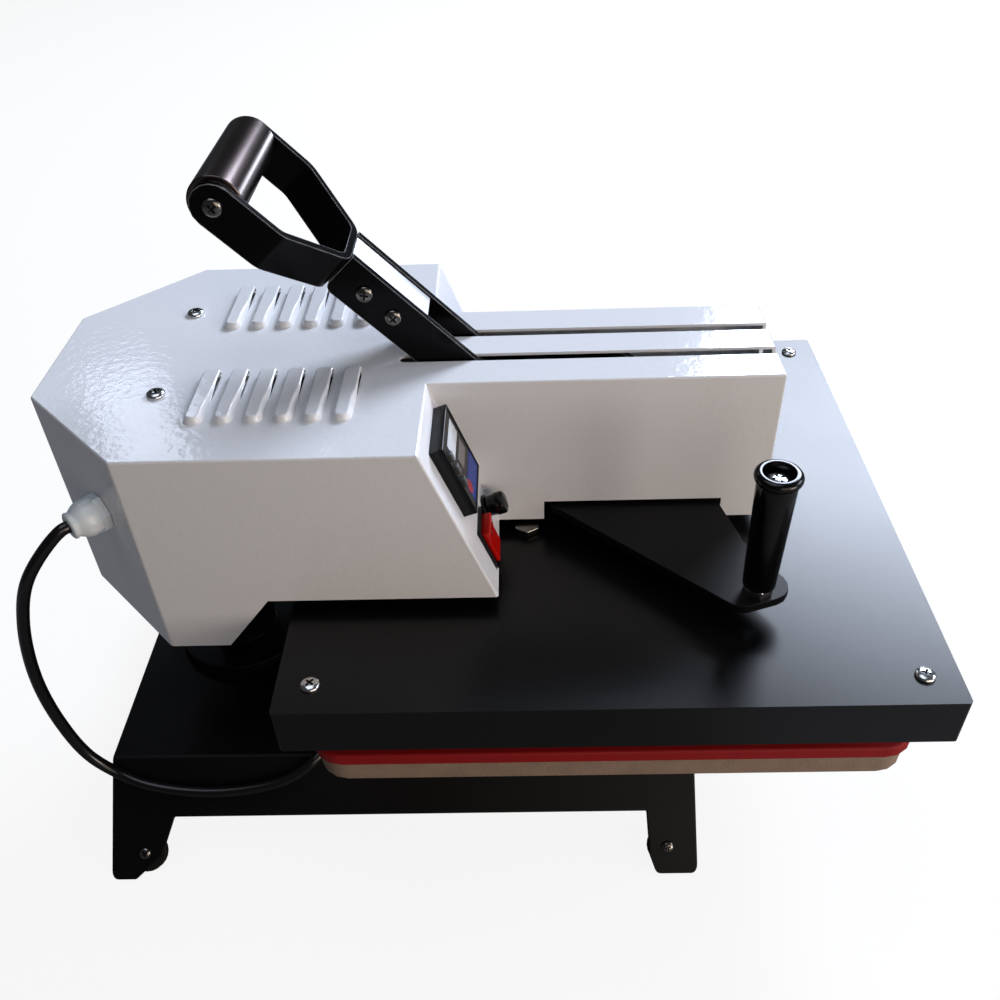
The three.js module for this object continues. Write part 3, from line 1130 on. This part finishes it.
// Mains lead: from the gland down to the near flange, over the base, and down behind to its coil
const circle = (radius, sides) => new THREE.Shape(Array.from({ length: sides }, (_, i) => (
  new THREE.Vector2(radius * Math.cos(TURN * i / sides), radius * Math.sin(TURN * i / sides))
)));
function tube(points, radius, sides, steps) {
  const places = points.map((point) => new THREE.Vector3(...point));
  const path = new THREE.CatmullRomCurve3(places, false, 'centripetal');
  const geometry = new THREE.ExtrudeGeometry(circle(radius, sides), { extrudePath: path, steps });
  return [solid(geometry), path.getLength()];
}
const glandPoint = (out) => gland.localToWorld(new THREE.Vector3(0, 0, out)).toArray();
const cordZ = CORD_RADIUS + CORD_REST;
const coilY = COIL_Y - COIL_OUTER;
const CORD_ROUTE = [
  [-279, -126, 247], [-293, -130, 212], [-301, -133, 160], [-297, -136, 115],
  [-287, -138, 82], [-272, -140, 65], [-250, -145.4, 56.4], [-206, -149.4, 52], [-163, -146.6, 54.8],
  [-141, -141.5, 60.5], [-126, -133, 69.5], [-119, -115, 71], [-118, -60, 71], [-118, 0, 71],
  [-118, 60, 71], [-118, 115, 71], [-119, 133, 68.5], [-121, 150, 54.5], [-124, 172, 31],
  [-126, 194, 12], [-119, 216, 5], [-98, 231, 4.3],
];
const [leadBody, leadLength] = tube([
  glandPoint(glandNutEnd + FIT), glandPoint(glandNutEnd + 2 * CORD_RADIUS), ...CORD_ROUTE,
  [COIL_X - COIL_APPROACH, coilY, cordZ], [COIL_X - COIL_TOUCH, coilY, cordZ],
  [COIL_X - COIL_START - FIT, coilY, cordZ],
], CORD_RADIUS, CORD_SIDES, CORD_STEPS);
piece(group, 'power_cord', leadBody, cordJacket);

// Coil: in on the lower layer, a climb where it reverses, out on the upper layer and down to its plug
const COIL_STAGES = [
  { turns: 1.5, radius: COIL_INNER, layer: 0 },
  { turns: 0.5, radius: COIL_INNER, layer: 1 },
  { turns: 1, radius: COIL_OUTER, layer: 1 },
  { turns: 0.25, radius: COIL_END, layer: 1 },
  { turns: 0.25, radius: COIL_END, layer: (PLUG_HEIGHT / 2 - CORD_RADIUS) / COIL_LAYER },
];
function coilPoints() {
  const points = [[COIL_X - COIL_START, coilY, cordZ]];
  let [angle, radius, layer] = [-QUARTER, COIL_OUTER, 0];
  COIL_STAGES.forEach((stage, number) => {
    const steps = Math.round(stage.turns * COIL_STEPS);
    for (let i = number === 0 ? 0 : 1; i <= steps; i += 1) {
      const share = i / steps;
      const at = angle + TURN * stage.turns * share;
      const reach = radius + (stage.radius - radius) * share;
      const z = cordZ + COIL_LAYER * (layer + (stage.layer - layer) * share);
      points.push([COIL_X + reach * Math.cos(at), COIL_Y + reach * Math.sin(at), z]);
    }
    [angle, radius, layer] = [angle + TURN * stage.turns, stage.radius, stage.layer];
  });
  const way = [-Math.sin(angle), Math.cos(angle)];
  const [x, y, z] = points[points.length - 1];
  points.push([x + way[0] * COIL_LEAD, y + way[1] * COIL_LEAD, z]);
  return [points, angle + QUARTER];
}
const [coilLine, coilHeading] = coilPoints();
const [coilBody, coilLength] = tube(coilLine, CORD_RADIUS, COIL_SIDES, coilLine.length - 1);
piece(group, 'cord_coil', coilBody, cordJacket);
const least = (points, apart) => Math.min(...points.flatMap((a, i) => points.slice(i + apart).map((b) => (
  Math.hypot(a[0] - b[0], a[1] - b[1], a[2] - b[2])
))));
const coilGap = least(coilLine, Math.round(COIL_STEPS / 4)) - 2 * CORD_RADIUS;
console.log(`coil: least gap to itself ${coilGap.toFixed(2)} mm`);
console.log(`mains lead: ${Math.round(leadLength + coilLength)} mm from gland to plug`);

// Plug with two round pins, lying beside the coil
const plug = new THREE.Group();
plug.position.set(...coilLine[coilLine.length - 1]);
plug.rotation.z = coilHeading;
group.add(plug);
function plugBody() {
  const half = coilLine[coilLine.length - 1][2] - CORD_REST;
  const neckEnd = FIT + PLUG_NECK_LENGTH;
  const bodyEnd = neckEnd + PLUG_LENGTH;
  const neck = bar(PLUG_NECK_RADIUS, [FIT, 0, 0], [neckEnd + FIT, 0, 0], SMALL_SIDES);
  const body = along(rectangle(0, 0, PLUG_WIDTH, 2 * half, PLUG_NECK_RADIUS), neckEnd, PLUG_LENGTH);
  const pins = [-1, 1].map((side) => bar(
    PLUG_PIN_RADIUS, [bodyEnd - FIT, side * PLUG_PIN_SPACING / 2, 0],
    [bodyEnd + PLUG_PIN_LENGTH, side * PLUG_PIN_SPACING / 2, 0], SMALL_SIDES,
  ));
  return join(neck, body, ...pins);
}
piece(plug, 'mains_plug', plugBody(), blackPlastic);

export default group;
